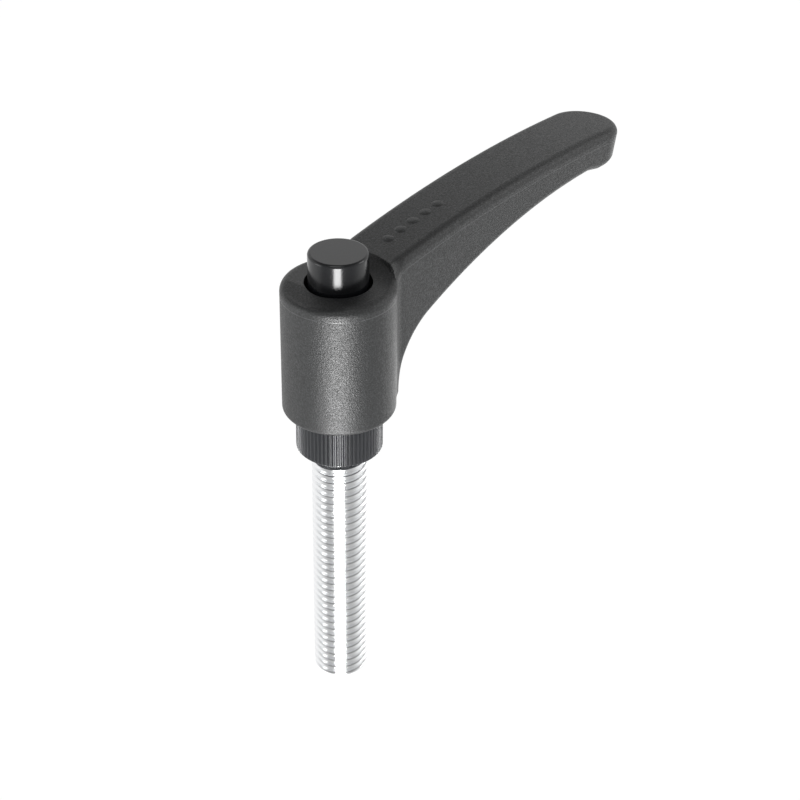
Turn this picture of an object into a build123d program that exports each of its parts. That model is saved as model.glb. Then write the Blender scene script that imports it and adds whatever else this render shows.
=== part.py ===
from build123d import *
import math
import os

# Adjustable clamping lever with push button, M10 x 50 stud.
# Frame: origin on the stud axis, in the plane where the insert seats on the work,
# +Z up along the stud axis, +X along the arm.  All sizes in millimetres.

# ---------------------------------------------------------------- driving sizes
# stud
stud_diameter = 10.0          # M10
thread_pitch = 1.5
thread_angle = 60.0           # degrees between the flanks
stud_length = 50.0            # below the seat
stud_end_chamfer = 0.9
stud_neck_diameter = 8.6      # plain run-out right under the insert
stud_neck_length = 1.2
stud_neck_taper = 0.5         # height of the cone from neck to thread
stud_grip_length = 9.0        # anchored inside the insert
stud_relief = 0.4             # the socket's countersink is wider than the thread by this

# serrated coupling between insert and lever
tooth_count = 60
coupling_diameter = 15.4      # over the tips of the insert's teeth
tooth_depth = 0.55
tooth_tip_share = 0.26        # part of one pitch that is flat at the tip
tooth_root_share = 0.26       # part of one pitch that is flat at the root
tooth_tip_clearance = 0.08    # radial, between the two rings of teeth
tooth_flank_clearance = 0.04  # on each side of a tooth
coupling_exposed = 8.0        # seen below the hub
coupling_engaged = 5.0        # inside the hub
coupling_edge_chamfer = 0.4

# boss of the insert, on which the lever turns when it is lifted
boss_diameter = 11.8
boss_height = 6.5
boss_chamfer = 0.5
running_clearance = 0.1       # radial, lever on boss
shoulder_clearance = 0.2      # above the tooth tops

# hub of the lever
hub_radius = 10.05
hub_height = 25.0
hub_foot_fillet = 0.9
spotface_radius = 9.25        # flat round the button
well_diameter = 11.8          # the button sinks into this well
ledge_thickness = 2.0         # web that the spring presses down

# arm of the lever, seen from above
arm_length = 77.9             # stud axis to tip
arm_root_half_width = 6.3
arm_tip_half_width = 6.85
arm_flare_radius = 3.8        # arm runs into the hub

# arm of the lever, seen from the side
arm_crest_rise = 5.9          # highest line of the top, above the hub's top
arm_crest_reach = 54.0        # how far along the arm that is
arm_top_radius = 300.0
ramp_inset = 1.95             # the ramp starts this far inside the spot-face's rim
ramp_angle = 33.0
ramp_blend = 3.0
under_root_radius = 13.8      # hollow between hub and arm
web_inset = 0.95              # the hollow ends this far inside the hub's front
under_radius = 120.0          # long curve under the arm
under_crest_reach = 65.5
under_crest_drop = 0.9        # below the hub's top
web_foot_level = 1.1          # above the hub's foot, the web is bevelled off below it
lip_drop = 0.7                # finger lip under the tip
lip_length = 8.5              # along the arm, up to the tip
lip_entry_length = 4.0        # slope into the lip
lip_entry_round = 4.0
tip_lean = 3.4                # the end wall leans back by this much at the lip
tip_round = 2.6
arm_edge_fillet = 1.6         # all round the top rim
arm_under_fillet = 1.3        # all round the lower rim

# raised pips along the root of the arm
pip_count = 5
pip_diameter = 2.2
pip_height = 0.35
pip_first = 13.2
pip_pitch = 3.4

# push button and the screw under it
button_diameter = 10.5
button_rise = 5.7             # above the hub's top
button_skirt_depth = 5.5      # below the hub's top
button_edge_fillet = 0.5
screw_diameter = 5.0
screw_fit = 0.05              # radial
screw_head_diameter = 8.9
screw_head_height = 4.0
screw_engagement = 9.0        # in the insert, from the top of the boss down
screw_socket_across_flats = 4.0
screw_socket_depth = 2.2
screw_passage_diameter = 5.8  # hole in the ledge

# return spring
spring_wire = 0.8
spring_outer_diameter = 8.6
spring_turns = 5
spring_space = 10.0           # between ledge and screw head, lever down

# ---------------------------------------------------------------- levels, from the seat
hub_foot = coupling_exposed
hub_top = hub_foot + hub_height
teeth_top = hub_foot + coupling_engaged
boss_top = teeth_top + boss_height
ledge_top = boss_top + ledge_thickness
head_seat = ledge_top + spring_space
head_top = head_seat + screw_head_height
button_top = hub_top + button_rise
button_foot = hub_top - button_skirt_depth
screw_foot = boss_top - screw_engagement
coupling_radius = coupling_diameter / 2
tooth_pitch = math.pi * coupling_diameter / tooth_count
flank_share = 2 * tooth_flank_clearance / tooth_pitch
overcut = 1.0                 # how far a cutting tool runs past the solid


def ring_of_teeth(tip_radius, root_radius, tip_share, root_share):
    """Outline of a ring of straight-sided teeth: four corners for each tooth."""
    corners = []
    for tooth in range(tooth_count):
        for radius, share, side in (
            (root_radius, 1 - root_share, -1),
            (tip_radius, tip_share, -1),
            (tip_radius, tip_share, 1),
            (root_radius, 1 - root_share, 1),
        ):
            turn = math.tau / tooth_count * (tooth + side * share / 2)
            corners.append((radius * math.cos(turn), radius * math.sin(turn)))
    return corners


# ---------------------------------------------------------------- threaded stud
neck_radius = stud_neck_diameter / 2
stud_radius = stud_diameter / 2
# The thread is drawn as rings at its pitch: crest an eighth of the pitch wide,
# root a quarter, straight flanks between them.
crest_width = thread_pitch / 8
root_width = thread_pitch / 4
flank_width = (thread_pitch - crest_width - root_width) / 2
root_radius = stud_radius - flank_width / math.tan(math.radians(thread_angle / 2))


def thread_grooves():
    """Half section of the grooves, from the seat down past the end: four corners each."""
    corners = []
    for turn in range(1, math.ceil(stud_length / thread_pitch) + 1):
        crest_foot = -turn * thread_pitch - crest_width / 2
        root_top = crest_foot - flank_width
        corners += [
            (stud_radius, crest_foot),
            (root_radius, root_top),
            (root_radius, root_top - root_width),
            (stud_radius, root_top - root_width - flank_width),
        ]
    return corners


with BuildPart() as threaded_stud:
    with BuildSketch(Plane.XZ):
        with BuildLine():
            grooves = thread_grooves()
            Polyline(
                (0, stud_grip_length),
                (stud_radius, stud_grip_length),
                *grooves,
                (0, grooves[-1][1]),
                close=True,
            )
        make_face()
        # turned down to the neck at the top, chamfered at the end
        with BuildLine():
            Polyline(
                (0, stud_grip_length),
                (neck_radius, stud_grip_length),
                (neck_radius, -stud_neck_length),
                (stud_radius, -stud_neck_length - stud_neck_taper),
                (stud_radius, -stud_length + stud_end_chamfer),
                (stud_radius - stud_end_chamfer, -stud_length),
                (0, -stud_length),
                close=True,
            )
        make_face(mode=Mode.INTERSECT)
    revolve(axis=Axis.Z)
threaded_stud.part.label = "threaded_stud"

# ---------------------------------------------------------------- serrated insert
with BuildPart() as serrated_insert:
    with BuildSketch():
        with BuildLine():
            Polyline(
                *ring_of_teeth(
                    coupling_radius,
                    coupling_radius - tooth_depth,
                    tooth_tip_share,
                    tooth_root_share,
                ),
                close=True,
            )
        make_face()
    extrude(amount=teeth_top)
    # both rims of the toothed ring are turned to a chamfer
    with BuildSketch(Plane.XZ):
        with BuildLine():
            Polyline(
                (0, 0),
                (coupling_radius - coupling_edge_chamfer, 0),
                (coupling_radius, coupling_edge_chamfer),
                (coupling_radius, teeth_top - coupling_edge_chamfer),
                (coupling_radius - coupling_edge_chamfer, teeth_top),
                (0, teeth_top),
                close=True,
            )
        make_face()
    revolve(axis=Axis.Z, mode=Mode.INTERSECT)
    with BuildSketch(Plane.XY.offset(teeth_top)):
        Circle(boss_diameter / 2)
    extrude(amount=boss_height)
    chamfer(serrated_insert.faces().sort_by(Axis.Z)[-1].edges(), boss_chamfer)
    # socket for the stud from below, tapped hole for the screw from above
    with BuildSketch():
        Circle(stud_radius + stud_relief)
    extrude(amount=stud_radius + stud_relief - neck_radius, taper=45, mode=Mode.SUBTRACT)
    with BuildSketch():
        Circle(neck_radius)
    extrude(amount=stud_grip_length, mode=Mode.SUBTRACT)
    with BuildSketch(Plane.XY.offset(boss_top)):
        Circle(screw_diameter / 2)
    extrude(amount=-screw_engagement, mode=Mode.SUBTRACT)
serrated_insert.part.label = "serrated_insert"

# ---------------------------------------------------------------- lever body
foot_plane = Plane.XY.offset(hub_foot)

# One plan of hub, flares and arm.
tip_centre = arm_length - arm_tip_half_width
with BuildSketch(foot_plane) as plan:
    Circle(arm_root_half_width)
    with Locations((tip_centre, 0)):
        Circle(arm_tip_half_width)
    make_hull()
    Circle(hub_radius)
    corners = plan.vertices().filter_by(
        lambda v: 0 < v.X < hub_radius and abs(v.Y) > arm_root_half_width * 0.9
    )
    fillet(corners, arm_flare_radius)

# Side view of the arm: heights above the seat, reach along X.
ramp_start = spotface_radius - ramp_inset
top_centre = hub_top + arm_crest_rise - arm_top_radius
under_centre = hub_top - under_crest_drop - under_radius
lip_level = hub_top - under_crest_drop - lip_drop


def top_height(reach):
    """Height of the arm's long top curve at a distance along the arm."""
    return top_centre + math.sqrt(arm_top_radius**2 - (reach - arm_crest_reach) ** 2)


def under_height(reach):
    """Height of the long curve under the arm at a distance along the arm."""
    return under_centre + math.sqrt(under_radius**2 - (reach - under_crest_reach) ** 2)


# The ramp meets the top curve where its straight line reaches it.
ramp_end = ramp_start
for _ in range(30):
    ramp_end = ramp_start + (top_height(ramp_end) - hub_top) / math.tan(math.radians(ramp_angle))

# The hollow's circle touches the long under-curve from inside, so their centres and
# the touching point lie on one line.
web_front = hub_radius - web_inset
under_root_reach = web_front + under_root_radius
centre_distance = under_radius - under_root_radius
centre_run = under_root_reach - under_crest_reach
root_centre = under_centre + math.sqrt(centre_distance**2 - centre_run**2)
touch_reach = under_crest_reach + centre_run * under_radius / centre_distance
touch_turn = math.atan2(under_height(touch_reach) - root_centre, touch_reach - under_root_reach)
middle_turn = (touch_turn + math.pi) / 2

lip_end = arm_length - tip_lean
lip_start = arm_length - lip_length
lip_entry = lip_start - lip_entry_length
past_tip = arm_length + overcut

with BuildSketch(Plane.XZ) as side_view:
    with BuildLine():
        Polyline(
            (0, hub_foot),
            (0, hub_top),
            (ramp_start, hub_top),
            (ramp_end, top_height(ramp_end)),
        )
        ThreePointArc(
            (ramp_end, top_height(ramp_end)),
            (arm_crest_reach, top_height(arm_crest_reach)),
            (past_tip, top_height(past_tip)),
        )
        Polyline(
            (past_tip, top_height(past_tip)),
            (past_tip, hub_top + arm_crest_rise / 2),
            (lip_end, lip_level),
            (lip_start, lip_level),
            (lip_entry, under_height(lip_entry)),
        )
        ThreePointArc(
            (lip_entry, under_height(lip_entry)),
            ((lip_entry + touch_reach) / 2, under_height((lip_entry + touch_reach) / 2)),
            (touch_reach, under_height(touch_reach)),
        )
        ThreePointArc(
            (touch_reach, under_height(touch_reach)),
            (
                under_root_reach + under_root_radius * math.cos(middle_turn),
                root_centre + under_root_radius * math.sin(middle_turn),
            ),
            (web_front, root_centre),
        )
        Polyline((web_front, root_centre), (web_front, hub_foot), (0, hub_foot))
    make_face()

    def corner(reach, height):
        """The corner of the side view nearest a point."""
        return side_view.vertices().sort_by_distance((reach, height, 0))[0]

    fillet(corner(ramp_start, hub_top), ramp_blend)
    fillet(corner(ramp_end, top_height(ramp_end)), ramp_blend)
    fillet(corner(lip_end, lip_level), tip_round)
    fillet(corner(lip_start, lip_level), tip_round)
    fillet(corner(lip_entry, under_height(lip_entry)), lip_entry_round)

with BuildPart() as lever_body:
    # the plan drawn out upwards, then trimmed to the side view
    extrude(plan.sketch, amount=hub_height + 2 * arm_crest_rise)
    extrude(side_view.sketch, amount=2 * hub_radius, both=True, mode=Mode.INTERSECT)

    # rounded lower rim: up the web, along the arm and round the tip
    under = lever_body.faces().filter_by(lambda f: f.normal_at().Z < -0.05)
    walls = lever_body.faces().filter_by(lambda f: abs(f.normal_at().Y) > 0.2)
    rim = (under.edges() & walls.edges()).filter_by(
        lambda e: hub_radius < (e @ 0.5).X < tip_centre
    )
    fillet(rim, arm_under_fillet)

    # the web is bevelled off just above the hub's foot
    with BuildSketch(Plane.XZ):
        with BuildLine():
            bevel_reach = 2 * hub_radius
            Polyline(
                (hub_radius - overcut, hub_foot - overcut),
                (bevel_reach, hub_foot - overcut),
                (bevel_reach, hub_foot + web_foot_level + bevel_reach - hub_radius),
                (hub_radius - overcut, hub_foot + web_foot_level - overcut),
                close=True,
            )
        make_face()
    revolve(axis=Axis.Z, mode=Mode.SUBTRACT)
    with BuildSketch(foot_plane):
        Circle(hub_radius)
    extrude(amount=hub_height)

    # rounded rim all round the top, and the hub's foot
    upper = lever_body.faces().filter_by(lambda f: f.normal_at().Z > 0.5)
    sides = lever_body.faces().filter_by(lambda f: abs(f.normal_at().Z) < 0.3)
    fillet(upper.edges() & sides.edges(), arm_edge_fillet)
    fillet(lever_body.faces().sort_by(Axis.Z)[0].edges(), hub_foot_fillet)

    # raised pips: low domes on the crest of the arm
    dome_radius = (pip_diameter**2 / 4 + pip_height**2) / (2 * pip_height)
    for pip in range(pip_count):
        reach = pip_first + pip * pip_pitch
        with Locations((reach, 0, top_height(reach) + pip_height - dome_radius)):
            Sphere(dome_radius, rotation=(0, 0, 90))

    # flat round the well, toothed mouth, bore for the boss, passage and well
    with BuildSketch(Plane.XY.offset(hub_top)):
        Circle(spotface_radius)
    extrude(amount=arm_crest_rise, mode=Mode.SUBTRACT)
    with BuildSketch(foot_plane):
        with BuildLine():
            Polyline(
                *ring_of_teeth(
                    coupling_radius + tooth_tip_clearance,
                    coupling_radius - tooth_depth + tooth_tip_clearance,
                    tooth_tip_share + flank_share,
                    tooth_root_share - flank_share,
                ),
                close=True,
            )
        make_face()
    extrude(amount=coupling_engaged + shoulder_clearance, mode=Mode.SUBTRACT)
    with BuildSketch(Plane.XY.offset(hub_foot + overcut)):
        Circle(boss_diameter / 2 + running_clearance)
    extrude(amount=boss_top - hub_foot - overcut, mode=Mode.SUBTRACT)
    with BuildSketch(Plane.XY.offset(boss_top)):
        Circle(screw_passage_diameter / 2)
    extrude(amount=ledge_thickness, mode=Mode.SUBTRACT)
    with BuildSketch(Plane.XY.offset(ledge_top)):
        Circle(well_diameter / 2)
    extrude(amount=hub_top - ledge_top + overcut, mode=Mode.SUBTRACT)
lever_body.part.label = "lever_body"

# ---------------------------------------------------------------- retaining screw
with BuildPart() as retaining_screw:
    with BuildSketch(Plane.XY.offset(screw_foot)):
        Circle(screw_diameter / 2 - screw_fit)
    extrude(amount=head_seat - screw_foot)
    with BuildSketch(Plane.XY.offset(head_seat)):
        Circle(screw_head_diameter / 2)
    extrude(amount=screw_head_height)
    with BuildSketch(Plane.XY.offset(head_top)):
        RegularPolygon(screw_socket_across_flats / 2, 6, major_radius=False)
    extrude(amount=-screw_socket_depth, mode=Mode.SUBTRACT)
retaining_screw.part.label = "retaining_screw"

# ---------------------------------------------------------------- push button
with BuildPart() as push_button:
    with BuildSketch(Plane.XY.offset(button_foot)):
        Circle(button_diameter / 2)
    extrude(amount=button_top - button_foot)
    fillet(push_button.faces().sort_by(Axis.Z)[-1].edges(), button_edge_fillet)
    # the cap is pressed over the screw's head and rests on it
    with BuildSketch(Plane.XY.offset(button_foot)):
        Circle(screw_head_diameter / 2 + screw_fit)
    extrude(amount=head_top - button_foot, mode=Mode.SUBTRACT)
push_button.part.label = "push_button"

# ---------------------------------------------------------------- return spring
coil_radius = (spring_outer_diameter - spring_wire) / 2
coil_height = spring_space - spring_wire
with BuildPart() as return_spring:
    with BuildLine(Plane.XY.offset(ledge_top + spring_wire / 2)) as coil:
        Helix(coil_height / spring_turns, coil_height, coil_radius)
    with BuildSketch(coil.line ^ 0):
        RegularPolygon(spring_wire / 2, 8)
    sweep(is_frenet=True)
return_spring.part.label = "return_spring"

# ---------------------------------------------------------------- one file for each piece
os.makedirs("parts", exist_ok=True)
for piece in (
    lever_body,
    push_button,
    retaining_screw,
    return_spring,
    serrated_insert,
    threaded_stud,
):
    export_step(piece.part, f"parts/{piece.part.label}.step")
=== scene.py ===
# %% [markdown]
# # Adjustable clamping lever
# The real part is a black moulded lever on a blackened steel insert, with a glossy push
# button on top and a zinc-plated threaded stud below. The CAD model gives every piece its
# size and place. This script loads it, keeps its places, and gives each piece its finished
# surface: the helical thread, the sculpted root of the arm, the mould's marks, the round
# wire of the spring and the grain of the plastic. The button, the insert and the screw keep
# their CAD shapes.

# %% Load the frame
import math

import bmesh
import bpy
import numpy as np
from mathutils import Matrix, Vector


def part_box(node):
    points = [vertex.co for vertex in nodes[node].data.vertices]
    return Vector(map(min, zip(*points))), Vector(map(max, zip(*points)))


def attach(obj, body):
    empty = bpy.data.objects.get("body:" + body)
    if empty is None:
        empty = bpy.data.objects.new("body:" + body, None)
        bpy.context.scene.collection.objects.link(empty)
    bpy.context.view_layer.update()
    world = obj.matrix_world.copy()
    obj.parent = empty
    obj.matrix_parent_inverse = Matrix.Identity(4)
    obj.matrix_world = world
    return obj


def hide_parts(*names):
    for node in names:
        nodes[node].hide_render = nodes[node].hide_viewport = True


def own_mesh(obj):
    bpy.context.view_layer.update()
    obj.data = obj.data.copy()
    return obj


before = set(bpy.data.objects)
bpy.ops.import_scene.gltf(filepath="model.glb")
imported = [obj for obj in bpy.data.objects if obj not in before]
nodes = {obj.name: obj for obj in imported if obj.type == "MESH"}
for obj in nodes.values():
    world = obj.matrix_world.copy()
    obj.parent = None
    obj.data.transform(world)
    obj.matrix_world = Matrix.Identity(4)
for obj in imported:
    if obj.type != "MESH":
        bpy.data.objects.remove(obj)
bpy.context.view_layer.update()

# %% [markdown]
# ## Helpers
# Shapes are worked out in millimetres with numpy and go into the mesh in metres. A surface
# is a grid of points: rows follow one parameter and columns the other, and neighbouring
# points become four-cornered faces.

# %% Shape helpers
MM = 0.001


def grid_faces(rows, columns, closed=False):
    """Corner numbers of the quads of a grid of rows x columns points, numbered row by row.

    closed joins the last column back to the first.
    """
    number = np.arange(rows * columns).reshape(rows, columns)
    if closed:
        number = np.hstack([number, number[:, :1]])
    lower, upper = number[:-1], number[1:]
    quads = [lower[:, :-1], lower[:, 1:], upper[:, 1:], upper[:, :-1]]
    return np.stack(quads, axis=-1).reshape(-1, 4)


def merge_points(mesh, seam):
    """Closes seams and poles: points closer than seam mm become one, and empty faces go."""
    work = bmesh.new()
    work.from_mesh(mesh)
    bmesh.ops.remove_doubles(work, verts=work.verts, dist=seam * MM)
    bmesh.ops.dissolve_degenerate(work, edges=work.edges, dist=seam * MM)
    bmesh.ops.recalc_face_normals(work, faces=work.faces)
    work.to_mesh(mesh)
    work.free()


def make_mesh(name, points, faces, seam=1e-4, sharp_angle=35.0):
    """A mesh object from points in mm and quads, with points closer than seam mm merged.

    Edges that turn more than sharp_angle degrees stay crisp, and the rest shade smooth.
    """
    mesh = bpy.data.meshes.new(name)
    mesh.vertices.add(len(points))
    mesh.vertices.foreach_set("co", (np.asarray(points, float) * MM).astype(np.float32).ravel())
    mesh.loops.add(4 * len(faces))
    mesh.loops.foreach_set("vertex_index", np.asarray(faces, np.int32).ravel())
    mesh.polygons.add(len(faces))
    mesh.polygons.foreach_set("loop_start", np.arange(0, 4 * len(faces), 4, dtype=np.int32))
    mesh.update(calc_edges=True)
    merge_points(mesh, seam)
    mesh.shade_smooth()
    mesh.set_sharp_from_angle(angle=math.radians(sharp_angle))
    piece = bpy.data.objects.new(name, mesh)
    bpy.context.scene.collection.objects.link(piece)
    return piece


def smoothstep(value, start, end):
    """0 below start, 1 above end, and a smooth S between them."""
    share = np.clip((value - start) / (end - start), 0, 1)
    return share * share * (3 - 2 * share)


# %% [markdown]
# Colours are written as sRGB hex values, which a screen shows as they are, and one function
# turns them into the linear values that light needs. A material is a small tree of nodes,
# and one function adds a node with its settings and its links.

# %% Material helpers
def linear(hex_colour):
    """An sRGB hex colour as linear red, green, blue and an alpha of 1."""
    channels = [int(hex_colour[i : i + 2], 16) / 255 for i in (0, 2, 4)]
    return [c / 12.92 if c <= 0.04045 else ((c + 0.055) / 1.055) ** 2.4 for c in channels] + [1.0]


def add_node(tree, kind, inputs=None, **settings):
    """Adds a node. Settings are its properties, inputs are numbers, colours or other sockets."""
    node = tree.nodes.new(kind)
    for name, value in settings.items():
        setattr(node, name, value)
    for name, value in (inputs or {}).items():
        if isinstance(value, bpy.types.NodeSocket):
            tree.links.new(value, node.inputs[name])
        else:
            node.inputs[name].default_value = value
    return node


def new_material(name, **sockets):
    """A material with one Principled shader, whose uniform values are set on its own sockets."""
    material = bpy.data.materials.new(name)
    material.use_nodes = True
    tree = material.node_tree
    tree.nodes.clear()
    shader = add_node(tree, "ShaderNodeBsdfPrincipled", sockets)
    add_node(tree, "ShaderNodeOutputMaterial", {"Surface": shader.outputs["BSDF"]})
    return material, tree, shader


def dress(piece, material):
    """Gives a piece one material in all of its slots."""
    if not piece.data.materials:
        piece.data.materials.append(material)
    for place in range(len(piece.data.materials)):
        piece.data.materials[place] = material


# %% [markdown]
# ## Sizes
# The CAD boxes give the levels: the seat is at height 0, the stud hangs below it, and the
# lever's hub, the button and the screw stand above it. What a box can't tell, such as the
# thread's pitch, is written once, where it is first needed.


def box_mm(node):
    """Lowest and highest corner of a CAD node in mm."""
    low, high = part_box(node)
    return np.array(low) / MM, np.array(high) / MM


stud_low, stud_high = box_mm("threaded_stud")
spring_low, spring_high = box_mm("return_spring")
lever_low, lever_high = box_mm("lever_body")
stud_radius = stud_high[0]
stud_end = stud_low[2]
stud_top = stud_high[2]
print("stud radius", stud_radius.round(2), "from", stud_end.round(2), "to", stud_top.round(2))
print("lever from", lever_low.round(2), "to", lever_high.round(2))

# %% [markdown]
# ## Camera
# A long lens looks down on the lever from the front, past the hub towards the tip. The
# camera is placed by its turn round the stud, its height above the horizon and its distance
# from a point near the stud's axis, and it is rolled a little about its own line of sight.

# %% Camera
camera_azimuth = -50.8         # degrees, like the elevation
camera_elevation = 32.21
camera_roll = math.radians(0.724)
camera_distance = 0.33993      # metres, like the aim and the clips
camera_aim = Vector((0.007258, -0.007848, 0.009055))
sensor_width = 36.0            # the lens and its sensor are in millimetres
lens_length = 86.89
near_clip, far_clip = 0.01, 20.0


def direction(azimuth, elevation):
    """Unit vector (sin a cos e, -cos a cos e, sin e) for a turn a and a height e in degrees.

    Turn 0 looks out along -Y, and turn 90 along +X.
    """
    a, e = math.radians(azimuth), math.radians(elevation)
    return Vector((math.sin(a) * math.cos(e), -math.cos(a) * math.cos(e), math.sin(e)))


camera_back = direction(camera_azimuth, camera_elevation)
camera_turn = math.radians(camera_azimuth)
level_right = Vector((math.cos(camera_turn), math.sin(camera_turn), 0))
level_up = camera_back.cross(level_right)
camera_right = math.cos(camera_roll) * level_right + math.sin(camera_roll) * level_up
camera_up = camera_back.cross(camera_right)

lens = bpy.data.cameras.new("camera")
lens.sensor_width = sensor_width
lens.lens = lens_length
lens.clip_start = near_clip
lens.clip_end = far_clip
camera = bpy.data.objects.new("camera", lens)
bpy.context.scene.collection.objects.link(camera)
turned = Matrix((camera_right, camera_up, camera_back)).transposed().to_4x4()
camera.matrix_world = Matrix.Translation(camera_aim + camera_distance * camera_back) @ turned
bpy.context.scene.camera = camera
print("camera at", [round(1000 * x, 1) for x in camera.matrix_world.translation])

# %% [markdown]
# ## Room
# The lever stands on a white table in a white studio. Glossy surfaces show the room they
# stand in, so the room isn't white all round: its brightness falls from 1 towards the zenith
# and towards the camera's side, as in a real studio. Where the camera itself sees the room it
# is plain white.

# %% Room
zenith_share = 0.30            # brightness overhead
zenith_fade = (0.45, 0.85)     # sines of the heights between which it darkens
front_share = 0.45             # brightness on the camera's side
front_fade = (-0.1, 0.6)       # cosines of the angles from that side
diffuse_share = 0.50           # matt surfaces get this share of the room's light

room = bpy.data.worlds.new("white_studio")
room.use_nodes = True
tree = room.node_tree
tree.nodes.clear()
way = add_node(tree, "ShaderNodeTexCoord")
upward = add_node(tree, "ShaderNodeSeparateXYZ", {"Vector": way.outputs["Generated"]})
front = direction(camera_azimuth, 0)
forward = add_node(
    tree, "ShaderNodeVectorMath", {0: way.outputs["Generated"], 1: front}, operation="DOT_PRODUCT"
)
darkened = [
    add_node(
        tree, "ShaderNodeMapRange",
        {"Value": side, "From Min": start, "From Max": end, "To Min": 1.0, "To Max": share},
        interpolation_type="SMOOTHSTEP",
    ).outputs[0]
    for side, (start, end), share in (
        (upward.outputs["Z"], zenith_fade, zenith_share),
        (forward.outputs["Value"], front_fade, front_share),
    )
]
shade = add_node(
    tree, "ShaderNodeMath", {0: darkened[0], 1: darkened[1]}, operation="MULTIPLY"
)

# %% Room's rays
# Mirrored and seen rays meet the whole brightness, and matt surfaces its diffuse share.
path = add_node(tree, "ShaderNodeLightPath")
glossy, clear = path.outputs["Is Glossy Ray"], path.outputs["Is Transmission Ray"]
shine = add_node(tree, "ShaderNodeMath", {0: glossy, 1: clear}, operation="MAXIMUM")
direct = add_node(
    tree, "ShaderNodeMath", {0: shine.outputs[0], 1: path.outputs["Is Camera Ray"]},
    operation="MAXIMUM",
)
level = add_node(
    tree, "ShaderNodeMapRange",
    {"Value": direct.outputs[0], "To Min": diffuse_share, "To Max": 1.0},
)
strength = add_node(
    tree, "ShaderNodeMath", {0: shade.outputs[0], 1: level.outputs[0]}, operation="MULTIPLY"
)
shown = add_node(
    tree, "ShaderNodeMixRGB",
    {0: path.outputs["Is Camera Ray"], 1: strength.outputs[0], 2: linear("ffffff")},
)
backdrop = add_node(tree, "ShaderNodeBackground", {"Color": shown.outputs[0], "Strength": 1.0})
add_node(tree, "ShaderNodeOutputWorld", {"Surface": backdrop.outputs[0]})
bpy.context.scene.world = room
print("room nodes", len(tree.nodes))

# %% [markdown]
# ## Table
# The table stands at the stud's end. It shows the object's shadow but doesn't stand in the
# way of the lamps or of the reflections, so the lamp in front can reach below its level. A
# studio table is lit until only a faint shadow is left on it. Here a glow is mixed over the
# laminate, and only for what the camera sees.

# %% Table
table_size = 6.0               # metres
table_squares = 8
glow_strength = 1.12
shadow_hiding = 0.86           # share of the glow in what the camera sees

bpy.ops.mesh.primitive_grid_add(
    size=table_size, x_subdivisions=table_squares, y_subdivisions=table_squares
)
table = bpy.context.object
table.name = "table"
table.location.z = stud_end * MM
table.visible_shadow = False
table.visible_glossy = False
table_paint = bpy.data.materials.new("white_table_laminate")
table_paint.use_nodes = True
tree = table_paint.node_tree
tree.nodes.clear()
laminate = add_node(tree, "ShaderNodeBsdfDiffuse", {"Color": linear("f4f4f4")})
glow = add_node(
    tree, "ShaderNodeEmission", {"Color": linear("ffffff"), "Strength": glow_strength}
)
path = add_node(tree, "ShaderNodeLightPath")
seen = add_node(
    tree, "ShaderNodeMath", {0: path.outputs["Is Camera Ray"], 1: shadow_hiding},
    operation="MULTIPLY",
)
mixed = add_node(
    tree, "ShaderNodeMixShader", {0: seen.outputs[0], 1: laminate.outputs[0], 2: glow.outputs[0]}
)
add_node(tree, "ShaderNodeOutputMaterial", {"Surface": mixed.outputs[0]})
table.data.materials.append(table_paint)
print("table at", table.location.z)

# %% [markdown]
# ## Lamps
# Rectangular lamps make soft light and clean reflections. The bar low in front, below the
# table's level, draws the bright band on the hub, the button and the thread. The high lamp
# above the camera lights the top edges, and the low one stands beyond the tip and shines up
# under the arm. The far lamp and the left lamp stand well off to the camera's right and left.

# %% Lamps
lamp_distance = 0.8            # metres from the target


def soft_lamp(name, azimuth, elevation, width, height, strength,
              distance=lamp_distance, target=(0, 0, 0.02)):
    """A rectangular lamp at a turn and height round the target, in degrees, facing it.

    strength is the light that it sends out per area, so a larger lamp gives more light.
    """
    light = bpy.data.lights.new(name, "AREA")
    light.shape = "RECTANGLE"
    light.size, light.size_y = width, height
    light.energy = strength * width * height * math.pi
    back = direction(azimuth, elevation)
    lamp = bpy.data.objects.new(name, light)
    bpy.context.scene.collection.objects.link(lamp)
    lamp.location = Vector(target) + distance * back
    lamp.rotation_euler = back.to_track_quat("Z", "Y").to_euler()
    lamp.visible_camera = False


soft_lamp("front_bar", azimuth=-52, elevation=-34, width=0.106, height=0.19, strength=22.5,
          distance=0.24, target=(0, 0, 0))
soft_lamp("high_lamp", azimuth=-60, elevation=60, width=0.40, height=0.30, strength=3.0)
soft_lamp("low_lamp", azimuth=95, elevation=-30, width=0.60, height=0.4, strength=1.0)
soft_lamp("far_lamp", azimuth=48, elevation=24, width=0.25, height=0.3, strength=3.4)
soft_lamp("left_lamp", azimuth=-125, elevation=-5, width=0.3, height=0.5, strength=2.2)
print("lamps", len(bpy.data.lights))

# %% [markdown]
# ## Threaded stud
# The stud is an M10 bolt end of zinc-plated steel, whose thread is rolled between dies. A
# rolled thread is a 60 degree V that winds round the shank once per pitch, with a flat crest
# and a narrow root. It is made here as one sheared grid: each row follows the helix, so the
# crest keeps a crisp edge, and the last column of one turn meets the first column of the next.

# %% Thread sizes
thread_pitch = 1.5
thread_depth = 0.65            # flanks a quarter pitch long at 30 degrees: 0.375 / tan 30
crest_share = 0.40             # part of the pitch that is flat at the crest
root_share = 0.10
flank_softness = 0.06          # part of the depth by which the flanks' ends are eased
end_chamfer = 0.9
neck_radius = 4.3
neck_length = 1.2              # plain neck between the thread and the insert
run_out = 0.9                  # the thread fades over this length
thread_columns = 112
rows_per_turn = 16


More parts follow.
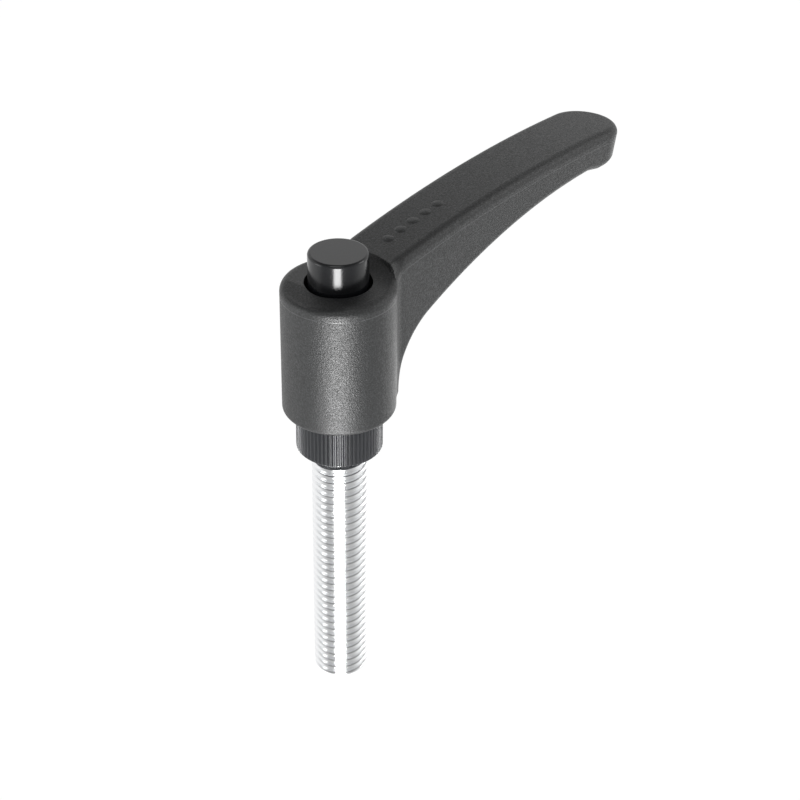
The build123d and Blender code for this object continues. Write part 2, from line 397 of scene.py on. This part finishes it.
# %% Thread's shape
def thread_radius(share):
    """Radius of the thread for a share of the pitch, which is 0 at the middle of a crest.

    The distance from the crest's middle is folded to 0..1/2. Between the crest's edge and the
    root's edge the depth d grows from 0 to 1 along a straight line, and d - c sin(tau d) eases
    it at both ends.
    """
    away = np.abs((share + 0.5) % 1.0 - 0.5)
    flank = 0.5 - crest_share / 2 - root_share / 2
    down = np.clip((away - crest_share / 2) / flank, 0, 1)
    return stud_radius - thread_depth * (down - flank_softness * np.sin(math.tau * down))


def end_radius(z):
    """Largest radius at a height: the end's 45 degree chamfer, and the full size above it."""
    chamfered = stud_radius - end_chamfer + (z - stud_end)
    return np.minimum(stud_radius, chamfered)


# %% Stud
def make_stud():
    """Grid of helix rows: z = end + pitch * (row / rows_per_turn + turn / tau).

    Rows that would pass the stud's ends are held at them. The thread fades into the neck.
    """
    turns = math.ceil((stud_top - stud_end) / thread_pitch) + 1
    turn = np.linspace(0, math.tau, thread_columns, endpoint=False)
    row = np.arange(-rows_per_turn, turns * rows_per_turn + 1)
    share = row[:, None] / rows_per_turn
    z = stud_end + thread_pitch * (share + turn / math.tau)
    held = np.clip(z, stud_end, stud_top)
    radius = np.minimum(thread_radius(share), end_radius(held))
    fade = smoothstep(held, -neck_length - run_out, -neck_length)
    radius = radius * (1 - fade) + neck_radius * fade
    points = np.stack([radius * np.cos(turn), radius * np.sin(turn), held], axis=-1)
    number = np.arange(z.size).reshape(z.shape)
    # the seam: the end of the last column is the start of the first column one turn higher
    low, high = number[:-rows_per_turn - 1, -1], number[1:-rows_per_turn, -1]
    next_low, next_high = number[rows_per_turn:-1, 0], number[rows_per_turn + 1:, 0]
    seam = np.stack([low, next_low, next_high, high], axis=-1)
    faces = np.vstack([grid_faces(*z.shape), seam])
    return make_mesh("stud_thread", points.reshape(-1, 3), faces, seam=2e-3)


stud = make_stud()
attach(stud, "clamping_unit")
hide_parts("threaded_stud")
print("stud faces", len(stud.data.polygons))

# %% [markdown]
# ## Zinc plating
# Rolled threads come out smooth, and bright zinc with a clear passivate follows them: a cool
# light metal, a little milky, with faint streaks along the thread from the dies. The streaks
# are a noise that is squeezed along the stud's axis, and they change the gloss more than the
# height.

# %% Zinc plating
streak_width = 0.9             # mm round the stud
streak_squeeze = 4.0           # times finer along the axis
streak_height = 0.02
noise_range = {"From Min": 0.3, "From Max": 0.7}   # most of a noise lies between these

zinc, tree, shader = new_material(
    "zinc_plated_steel", **{"Base Color": linear("f0f1f2"), "Metallic": 1.0, "Roughness": 0.17}
)
place = add_node(tree, "ShaderNodeTexCoord")
streak_place = add_node(
    tree, "ShaderNodeMapping",
    {"Vector": place.outputs["Object"], "Scale": (1.0, 1.0, streak_squeeze)},
)
streaks = add_node(
    tree, "ShaderNodeTexNoise",
    {
        "Vector": streak_place.outputs[0], "Scale": 1 / (streak_width * MM),
        "Detail": 3.0, "Roughness": 0.6,
    },
)
gloss = add_node(
    tree, "ShaderNodeMapRange",
    {"Value": streaks.outputs[0], **noise_range, "To Min": 0.15, "To Max": 0.20},
)
tree.links.new(gloss.outputs[0], shader.inputs["Roughness"])
ripple = add_node(
    tree, "ShaderNodeBump",
    {"Height": streaks.outputs[0], "Strength": 0.05, "Distance": streak_height * MM},
)
tree.links.new(ripple.outputs[0], shader.inputs["Normal"])
dress(stud, zinc)
print("zinc nodes", len(tree.nodes))

# %% [markdown]
# ## Lever's plan
# Seen from above, the lever is a round hub that two flares join to an arm, whose sides spread
# a little towards the tip. The root of the arm is remade here, and its outline has to be the
# CAD's own, so it is drawn from the same circles and their common tangents.

# %% Lever sizes
hub_top = 33.0
hub_radius = -lever_low[0]
tip_reach = lever_high[0]
root_half_width = 6.3          # of the arm, where its sides would meet the stud's axis
tip_half_width = 6.85
flare_radius = 3.8             # the arm's sides run into the hub
hub_step = 2.5                 # points on the hub lie this many steps apart


# %% Lever's plan
def plan_outline(reach, step=0.1):
    """Points (x, y) along the plan from x = reach on the -Y side, round the hub, to the +Y side.

    The arm's side is the common tangent of two circles: half width r0 about the stud's axis
    and r1 about the tip's centre, so its normal leans by asin((r0 - r1) / distance). The flare
    is an arc that touches this line and the hub's circle from outside. The outward normals
    come along as a second array.
    """
    tip_centre = tip_reach - tip_half_width
    lean = math.asin((root_half_width - tip_half_width) / tip_centre)
    out = np.array([math.sin(lean), math.cos(lean)])
    along = np.array([out[1], -out[0]])
    offset = root_half_width + flare_radius
    spread = math.sqrt((hub_radius + flare_radius) ** 2 - offset**2)
    centre = offset * out + spread * along
    line_start = root_half_width * out + spread * along
    hub_angle = math.atan2(centre[1], centre[0])
    length = (reach - line_start[0]) / along[0]
    run = np.linspace(length, 0, int(length / step) + 1)[:-1]
    line = line_start + run[:, None] * along
    line_out = np.tile(out, (len(run), 1))
    # the flare turns from facing the line to facing the hub
    first, last = math.atan2(-out[1], -out[0]), hub_angle - math.pi
    turn = np.linspace(first, last, int(flare_radius * abs(last - first) / step) + 1)[:-1]
    spoke = np.stack([np.cos(turn), np.sin(turn)], axis=1)
    flare = centre + flare_radius * spoke
    hub_points = int(hub_radius * (math.pi - hub_angle) / (hub_step * step))
    turn = np.linspace(hub_angle, math.pi, hub_points)
    ring = np.stack([np.cos(turn), np.sin(turn)], axis=1)
    half = np.vstack([line, flare, hub_radius * ring])
    half_out = np.vstack([line_out, -spoke, ring])
    mirror = np.array([1, -1])
    outline = np.vstack([half * mirror, half[-2::-1]])
    return outline, np.vstack([half_out * mirror, half_out[-2::-1]])


print("points of the whole plan", len(plan_outline(tip_reach - tip_half_width)[0]))

# %% [markdown]
# ## Top of the lever's root
# Where the arm meets the hub the real lever is sculpted: the top runs level up to a crease,
# falls into a hollow like a scoop, and comes out flat round the button, while the rim on both
# sides sinks to the hub in one smooth S. The mould leaves small domes in a row on the arm.
# Such a top has one height over each place of the plan, so it is a formula for that height.

# %% Sizes of the top
well_radius = 5.9              # the button stands in this well
rim_round = 1.6
crest_rise, crest_reach, top_bend = 5.9, 54.0, 300.0
rim_sink = (4.8, 10.4)         # the rim's S runs between these places
rim_blend = 1.5                # the top turns into the rim over this width
scoop_start, scoop_radius, scoop_end = 4.4, 3.9, 8.6
scoop_share = 0.95             # the scoop's arc stops short of upright
crease_place, crease_bow = 8.0, 0.027   # the crease bows towards the hub at its ends
pips = np.array([13.2, 16.6])  # places of the domes that the sheet carries
pip_half, pip_height = 1.1, 0.35
dome_share = 0.55              # the domes keep this share of their full height


# %% Height of the top
def arm_top(x):
    """Height of the arm's top over the hub's top: a flat arch, highest at crest_reach."""
    return crest_rise - top_bend + np.sqrt(top_bend**2 - (x - crest_reach) ** 2)


def rim_top(x):
    """Height of the rim's line over the hub's top: it sinks in a smooth S from arm to hub."""
    return arm_top(x) * smoothstep(x, *rim_sink)


def sheet_height(x, y, inside):
    """Height over the hub's top: arm, crease, scoop and flat in the middle, the S at the rim.

    inside is the distance from the plan's outline. The rim is rounded like a quarter circle,
    and a dome is the cap of a ball through its edge and its top.
    """
    run = np.clip(x - scoop_start, 0, scoop_share * scoop_radius)
    scoop = scoop_radius - np.sqrt(scoop_radius**2 - run**2)
    middle = np.where(x < scoop_end, np.minimum(scoop, arm_top(x)), arm_top(x))
    middle = np.where(x > crease_place - crease_bow * y**2, arm_top(x), middle)
    share = 1 - smoothstep(inside, 0.0, rim_blend)
    height = (1 - share) * middle + share * rim_top(x)
    away = np.hypot(x[..., None] - pips, y[..., None])
    ball = (pip_half**2 + pip_height**2) / (2 * pip_height)
    dome = arm_top(pips) + pip_height - ball + np.sqrt(np.clip(ball**2 - away**2, 0, None))
    raised = np.maximum(dome.max(axis=-1) - height, 0) * dome_share
    height = height + np.where((away < pip_half).any(axis=-1), raised, 0)
    edge = np.clip(rim_round - inside, 0, rim_round)
    return height - (rim_round - np.sqrt(rim_round**2 - edge**2))


print("the rim at the crease stands", round(float(rim_top(crease_place)), 2), "over the hub")

# %% [markdown]
# ## Root sheet
# The formula becomes one sheet: its columns start on the outline and run inwards, and its
# rows are the wall, the rounded rim and the top. It ends between two domes of the arm and a
# little below the hub's rounded rim. There its lowest row, the hem, hides just behind the wall
# of the CAD lever, which goes on below.

# %% Sheet sizes
sheet_reach = 18.3             # the sheet ends here, between two domes
sheet_foot = 31.2
hem_drop, hem_inset = 0.3, 0.06
wall_rows, rim_rows, top_rows = 5, 9, 44
touch = 1e-3                   # nearer than this to the hub's circle is on it
fine_step, fine_extra = 0.02, 4.0   # the outline that distances are measured from


# %% Root sheet
def nearest_distance(x, y, outline, slices=40):
    """Distance from each point to the outline, a chain of close points, in slices of points."""
    away = np.empty(x.size)
    flat = np.stack([x.ravel(), y.ravel()], axis=1)
    for part in np.array_split(np.arange(x.size), slices):
        away[part] = np.linalg.norm(flat[part, None] - outline[None], axis=2).min(axis=1)
    return away.reshape(x.shape)


def make_sheet():
    """Grid over the plan, whose columns run inwards to the arm's middle line or the well's edge.

    Rows: a hidden hem, the upright wall, the rounded rim along the outline's normals, the top,
    and the well's wall. A point's way in is a share of the line from its rim point to its inner
    point. Returns points and quads.
    """
    outer, out = plan_outline(sheet_reach)
    on_arm = np.hypot(*outer.T) > hub_radius + touch
    x = outer[:, 0]
    tangent = x[np.argmax(~on_arm)]
    inner = np.zeros_like(outer)
    along = well_radius + (x - tangent) * (sheet_reach - well_radius) / (sheet_reach - tangent)
    inner[on_arm, 0] = along[on_arm]
    turn = np.linspace(0, -math.tau, np.count_nonzero(~on_arm))
    inner[~on_arm] = well_radius * np.stack([np.cos(turn), np.sin(turn)], axis=1)
    steps_in = rim_round * (1 - np.cos(np.linspace(0, math.pi / 2, rim_rows)))
    rim = outer[None] - steps_in[:, None, None] * out[None]
    share = np.linspace(0, 1, top_rows)[1:, None, None]
    plan = np.vstack([rim, rim[-1][None] + share * (inner - rim[-1])[None]])
    fine, _ = plan_outline(sheet_reach + fine_extra, step=fine_step)
    inside = nearest_distance(plan[..., 0], plan[..., 1], fine)
    inside[:rim_rows] = steps_in[:, None]
    z = hub_top + sheet_height(plan[..., 0], plan[..., 1], inside)
    wall = np.linspace(0, 1, wall_rows)[:-1, None] * (z[0] - sheet_foot) + sheet_foot
    wall_plan = np.repeat(outer[None], len(wall), axis=0)
    hem = outer - hem_inset * out
    hem_foot = np.full(len(outer), sheet_foot - hem_drop)
    well_foot = np.where(on_arm, z[-1], hem_foot)
    rows = np.vstack([hem[None], wall_plan, plan, inner[None]])
    heights = np.vstack([hem_foot, wall, z, well_foot])
    return np.dstack([rows, heights]).reshape(-1, 3), grid_faces(*heights.shape)


sheet_points, sheet_quads = make_sheet()
sheet = make_mesh("lever_root", sheet_points, sheet_quads, seam=5e-4, sharp_angle=28.0)
print("sheet faces", len(sheet.data.polygons))

# %% [markdown]
# ## Rest of the lever
# Everything else of the lever is the CAD shape, cut where the sheet takes over. A cut makes
# new faces and would spoil the smooth shading near it, so the CAD's normals are kept as an
# attribute on the corners of its faces, which the cut carries along.

# %% Cut CAD lever
cut_margin = 1e-8              # metres


def corner_arrays(mesh):
    """Points, corners of the triangles and the normal at each corner of a triangulated mesh."""
    points = np.empty((len(mesh.vertices), 3))
    mesh.vertices.foreach_get("co", points.ravel())
    corners = np.empty(len(mesh.loops), np.int32)
    mesh.loops.foreach_get("vertex_index", corners)
    normals = np.empty((len(mesh.loops), 3))
    mesh.corner_normals.foreach_get("vector", normals.ravel())
    return points, corners.reshape(-1, 3), normals.reshape(-1, 3, 3)


def cut_cad(node):
    """The CAD lever without the faces that the sheet stands in for.

    Returns points in metres, triangles and the normal at each corner of a triangle.
    """
    mesh = node.data.copy()
    ways = np.empty((len(mesh.loops), 3), np.float32)
    mesh.corner_normals.foreach_get("vector", ways.ravel())
    mesh.attributes.new("way", "FLOAT_VECTOR", "CORNER").data.foreach_set("vector", ways.ravel())
    work = bmesh.new()
    work.from_mesh(mesh)
    work.transform(node.matrix_world)
    cuts = (((sheet_reach * MM, 0, 0), (1, 0, 0)), ((0, 0, sheet_foot * MM), (0, 0, 1)))
    for place, normal in cuts:
        parts = work.verts[:] + work.edges[:] + work.faces[:]
        bmesh.ops.bisect_plane(
            work, geom=parts, plane_co=place, plane_no=normal, dist=cut_margin
        )
    bmesh.ops.triangulate(work, faces=work.faces[:])
    work.to_mesh(mesh)
    work.free()
    points, corners, _ = corner_arrays(mesh)
    ways = np.empty((len(mesh.loops), 3), np.float32)
    mesh.attributes["way"].data.foreach_get("vector", ways.ravel())
    middle = points[corners].mean(axis=1) / MM
    kept = ~((middle[:, 0] < sheet_reach) & (middle[:, 2] > sheet_foot))
    bpy.data.meshes.remove(mesh)
    return points, corners[kept], ways.reshape(-1, 3, 3)[kept]


rest_points, rest_corners, rest_ways = cut_cad(nodes["lever_body"])
print("triangles kept of the CAD lever", len(rest_corners))

# %% [markdown]
# ## Domes and tip
# The domes of the real lever are low, and its tip leans back below the rim. Both are small
# moves of points that the CAD already has. A normal has to turn with its surface, so a move
# changes the normals as well.

# %% Domes
dome_margin = 0.1              # round the domes' edges
domes_end = 30.0               # along the arm, past the last dome
level_within = 0.01            # closer than this to the arm's top is no dome


def lower_domes(points, corners, ways):
    """Lowers the CAD domes as the sheet's are: z - arm shrinks to d = dome_share of itself.

    A normal becomes (d nx, d ny, nz).
    """
    x, y, z = points.T / MM
    over = z - hub_top - arm_top(np.clip(x, 0, None))
    dome = (np.abs(y) < pip_half + dome_margin) & (x > sheet_reach) & (x < domes_end)
    dome &= over > level_within
    points = points.copy()
    points[dome, 2] -= over[dome] * (1 - dome_share) * MM
    flatter = np.array([dome_share, dome_share, 1.0])
    return points, ways * np.where(dome[corners][..., None], flatter, 1.0)


rest_points, rest_ways = lower_domes(rest_points, rest_corners, rest_ways)

# %% Tip
tip_shift = 1.6
lean_start, lean_end = 58.0, 72.0     # along the arm
lean_top, lean_foot = 35.0, 31.4      # heights between which it grows
foot_margin = 0.5                     # below the foot, where normals still turn


def lean_tip(points, corners, ways):
    """Leans the tip's whole end back below the rim.

    x' = x - s w(x) t(z): w grows from 0 to 1 towards the tip, and t from 0 at lean_top to 1 at
    lean_foot. With a = dx'/dx and b = dx'/dz a normal becomes (nx / a, ny, nz - b nx / a). The
    slope of a smooth step at a share r is 6 r (1 - r).
    """
    x, _, z = points.T / MM
    share = smoothstep(x, lean_start, lean_end)
    depth = np.clip((lean_top - z) / (lean_top - lean_foot), 0, 1)
    moved = points.copy()
    moved[:, 0] -= tip_shift * share * depth * MM
    run = np.clip((x - lean_start) / (lean_end - lean_start), 0, 1)
    slope = 6 * run * (1 - run) / (lean_end - lean_start)
    a = (1 - tip_shift * slope * depth)[corners]
    level = (z < lean_top) & (z > lean_foot - foot_margin)
    b = (tip_shift * share * level / (lean_top - lean_foot))[corners]
    nx, ny, nz = ways[..., 0] / a, ways[..., 1], ways[..., 2]
    return moved, np.stack([nx, ny, nz - b * nx], axis=-1)


rest_points, rest_ways = lean_tip(rest_points, rest_corners, rest_ways)
print("the tip reaches", round(float(rest_points[:, 0].max() / MM), 2))

# %% [markdown]
# ## One lever
# The sheet and the rest become one mesh. Its shading is given corner by corner, from the
# normals that both came with, so the join between them doesn't show.

# %% One lever
def triangle_object(name, points, corners, normals):
    """An object from triangles in metres with a given normal at each corner."""
    mesh = bpy.data.meshes.new(name)
    used, corners = np.unique(corners, return_inverse=True)
    corners = corners.ravel()
    mesh.vertices.add(len(used))
    mesh.vertices.foreach_set("co", points[used].astype(np.float32).ravel())
    mesh.loops.add(len(corners))
    mesh.loops.foreach_set("vertex_index", corners.astype(np.int32))
    mesh.polygons.add(len(corners) // 3)
    mesh.polygons.foreach_set("loop_start", np.arange(0, len(corners), 3, dtype=np.int32))
    mesh.update(calc_edges=True)
    mesh.shade_smooth()
    normals = normals.reshape(-1, 3)
    mesh.normals_split_custom_set(normals / np.linalg.norm(normals, axis=1)[:, None])
    piece = bpy.data.objects.new(name, mesh)
    bpy.context.scene.collection.objects.link(piece)
    return piece


def split_quads(mesh):
    """Turns every face of a mesh into triangles."""
    work = bmesh.new()
    work.from_mesh(mesh)
    bmesh.ops.triangulate(work, faces=work.faces[:])
    work.to_mesh(mesh)
    work.free()


split_quads(sheet.data)
sheet_points, sheet_corners, sheet_normals = corner_arrays(sheet.data)
bpy.data.objects.remove(sheet)
lever = triangle_object(
    "lever_skin",
    np.vstack([rest_points, sheet_points]),
    np.vstack([rest_corners, sheet_corners + len(rest_points)]),
    np.vstack([rest_ways, sheet_normals]),
)
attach(lever, "lever")
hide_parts("lever_body")
print("lever triangles", len(lever.data.polygons))

# %% [markdown]
# ## Parting line
# The two halves of the mould meet a little below the rim, and a trace of plastic is squeezed
# out between them. It shows as a thin broken line along the lever's sides and round its hub.
# It is a ribbon of three rows: its edges lie just under the skin and its ridge just over it.

# %% Parting line
parting_reach = 70.0           # it stops short of the tip's round end
parting_drop = 2.35            # below the rim's line
parting_height = 0.16
parting_lift, parting_sink = 0.004, 0.001


def make_parting():
    """Rows at z = rim - drop + share * height, moved out along the outline's normals."""
    outer, out = plan_outline(parting_reach)
    level = hub_top + rim_top(outer[:, 0]) - parting_drop
    rows = [
        np.column_stack([outer + lift * out, level + share * parting_height])
        for share, lift in ((-0.5, -parting_sink), (0, parting_lift), (0.5, -parting_sink))
    ]
    faces = grid_faces(len(rows), len(outer))
    return make_mesh("parting_line", np.vstack(rows), faces, seam=1e-6, sharp_angle=80)


parting = make_parting()
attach(parting, "lever")
print("parting line's faces", len(parting.data.polygons))

# %% [markdown]
# ## Return spring
# A coil of round wire presses the lever down onto the teeth. It stands between the ledge in
# the lever and the screw's head, so it shortens by as much as the lever is lifted, and its
# upper end stays where it is.

# %% Return spring
wire_radius = 0.4
coil_turns = 5
wire_steps, wire_sides = 44, 14        # rings to a turn, and points on a ring


def make_spring():
    """A tube round the helix P(t) = (c cos t, c sin t, z0 + p t / tau), closed at both ends.

    The wire's ring lies in the plane of N = (cos t, sin t, 0) and B = T x N, where T is the
    direction of the helix. The first and last rings shrink to a point.
    """
    coil = spring_high[0] - wire_radius
    start, end = spring_low[2] + wire_radius, spring_high[2] - wire_radius
    t = np.linspace(0, coil_turns * math.tau, coil_turns * wire_steps + 1)
    climb = (end - start) / (coil_turns * math.tau)
    centre = np.stack([coil * np.cos(t), coil * np.sin(t), start + climb * t], axis=1)
    heading = np.stack([-coil * np.sin(t), coil * np.cos(t), np.full_like(t, climb)], axis=1)
    heading /= np.linalg.norm(heading, axis=1)[:, None]
    outward = np.stack([np.cos(t), np.sin(t), np.zeros_like(t)], axis=1)
    upward = np.cross(heading, outward)
    ring = np.linspace(0, math.tau, wire_sides, endpoint=False)[:, None]
    around = np.cos(ring) * outward[:, None] + np.sin(ring) * upward[:, None]
    ends = centre[[0, -1], None].repeat(wire_sides, axis=1)
    tube = np.vstack([ends[:1], centre[:, None] + wire_radius * around, ends[1:]])
    faces = grid_faces(len(tube), wire_sides, closed=True)
    return make_mesh("spring_coil", tube.reshape(-1, 3), faces, sharp_angle=50)


spring = make_spring()
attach(spring, "spring_seat")
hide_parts("return_spring")
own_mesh(spring)

# %% [markdown]
# ## Lever plastic
# Levers like this are moulded from polyamide with about a third of short glass fibres. The
# mould is spark-eroded, so the skin is matt with a fine grain, and it catches light as tiny
# sparks. The grain is drawn with two noises: one at the grain's own width, and a weaker one
# three times as wide. The fibres' ends at the skin show as paler and glossier specks.

# %% Lever plastic
grain_width = 0.22             # mm, the real grain is nearer 0.1 mm and would not show
grain_height = 0.07
wide_times, wide_share = 3, 0.35
speck_width = 0.30

nylon, tree, shader = new_material(
    "glass_filled_polyamide",
    **{"Base Color": linear("1c1d1e"), "Roughness": 0.48, "IOR": 1.53},
)
place = add_node(tree, "ShaderNodeTexCoord")
fine = add_node(
    tree, "ShaderNodeTexNoise",
    {
        "Vector": place.outputs["Object"], "Scale": 1 / (grain_width * MM),
        "Detail": 2.0, "Roughness": 0.6,
    },
)
wide = add_node(
    tree, "ShaderNodeTexNoise",
    {
        "Vector": place.outputs["Object"], "Scale": 1 / (wide_times * grain_width * MM),
        "Detail": 2.0,
    },
)
grain = add_node(
    tree, "ShaderNodeMath", {0: wide.outputs[0], 1: wide_share, 2: fine.outputs[0]},
    operation="MULTIPLY_ADD",
)
bump = add_node(
    tree, "ShaderNodeBump",
    {"Height": grain.outputs[0], "Strength": 1.0, "Distance": grain_height * MM},
)
tree.links.new(bump.outputs[0], shader.inputs["Normal"])

# %% Fibre ends
specks = add_node(
    tree, "ShaderNodeTexNoise",
    {
        "Vector": place.outputs["Object"], "Scale": 1 / (speck_width * MM),
        "Detail": 1.0, "Roughness": 0.5,
    },
)
speck = add_node(
    tree, "ShaderNodeMapRange", {"Value": specks.outputs[0], "From Min": 0.40, "From Max": 0.72}
)
skin = add_node(
    tree, "ShaderNodeMixRGB", {0: speck.outputs[0], 1: linear("191a1a"), 2: linear("2e2f30")}
)
tree.links.new(skin.outputs[0], shader.inputs["Base Color"])
gloss = add_node(
    tree, "ShaderNodeMapRange",
    {"Value": specks.outputs[0], **noise_range, "To Min": 0.54, "To Max": 0.40},
)
tree.links.new(gloss.outputs[0], shader.inputs["Roughness"])
dress(lever, nylon)
print("polyamide nodes", len(tree.nodes))

# %% [markdown]
# ## Squeezed-out plastic and its painted glint
# The trace on the parting line is the same polyamide, but it froze in the gap of the mould
# and not against its grain, so it is smoother. The ribbon is too thin to catch light itself,
# so its paler colour is a painted highlight, the glint of the flash. It is broken up by a
# noise, because the mould doesn't leak evenly.

# %% Squeezed-out plastic and its painted glint
patch_width = 0.8              # mm

# the pale colour of the flash is a painted highlight, not the plastic's own colour
trace, tree, shader = new_material(
    "polyamide_flash_painted_glint", **{"Base Color": linear("5c5d5e"), "Roughness": 0.35, "IOR": 1.53}
)
place = add_node(tree, "ShaderNodeTexCoord")
glint_patches = add_node(
    tree, "ShaderNodeTexNoise",
    {"Vector": place.outputs["Object"], "Scale": 1 / (patch_width * MM), "Detail": 2.0},
)
# painted highlight: the glint is painted as a paler colour in noise patches over the nylon colour
painted_glint = add_node(
    tree, "ShaderNodeMixRGB", {0: glint_patches.outputs[0], 1: linear("1c1d1e"), 2: linear("5a5b5c")}
)
tree.links.new(painted_glint.outputs[0], shader.inputs["Base Color"])
dress(parting, trace)
print("flash nodes", len(tree.nodes))

# %% [markdown]
# ## Button plastic
# The button is acetal from a polished mould: black, hard and waxy, with clear reflections.
# It keeps its CAD shape, a turned one with rounded edges, and needs only this plain gloss.

# %% Button plastic
acetal, _, _ = new_material(
    "polished_acetal", **{"Base Color": linear("17181a"), "Roughness": 0.2, "IOR": 1.48}
)
dress(nodes["push_button"], acetal)

# %% [markdown]
# ## Black oxide
# The toothed insert is steel with a black oxide skin. The skin is thin, a little porous and
# oiled, and it hides the metal's own shine. It looks more like a dark satin paint than like
# bare steel, which is why it is hardly metallic here.

# %% Black oxide
oxide, _, _ = new_material(
    "black_oxide_steel",
    **{
        "Base Color": linear("38393b"), "Metallic": 0.1, "Roughness": 0.36,
        "Specular IOR Level": 0.25,
    },
)
dress(nodes["serrated_insert"], oxide)

# %% [markdown]
# ## Spring steel
# Spring wire is drawn through dies, which leaves it bright and smooth. The retaining screw has
# the same plain steel. Both are hidden inside the hub, so one uniform finish is enough.

# %% Spring steel
drawn, _, _ = new_material(
    "drawn_spring_steel", **{"Base Color": linear("9a9c9f"), "Metallic": 1.0, "Roughness": 0.3}
)
dress(nodes["retaining_screw"], drawn)
dress(spring, drawn)
print("materials", sorted(material.name for material in bpy.data.materials))

# %% [markdown]
# ## Finish
# The standard view shows colours as they are given, without a film curve.

# %% Finish
bpy.context.scene.view_settings.view_transform = "Standard"
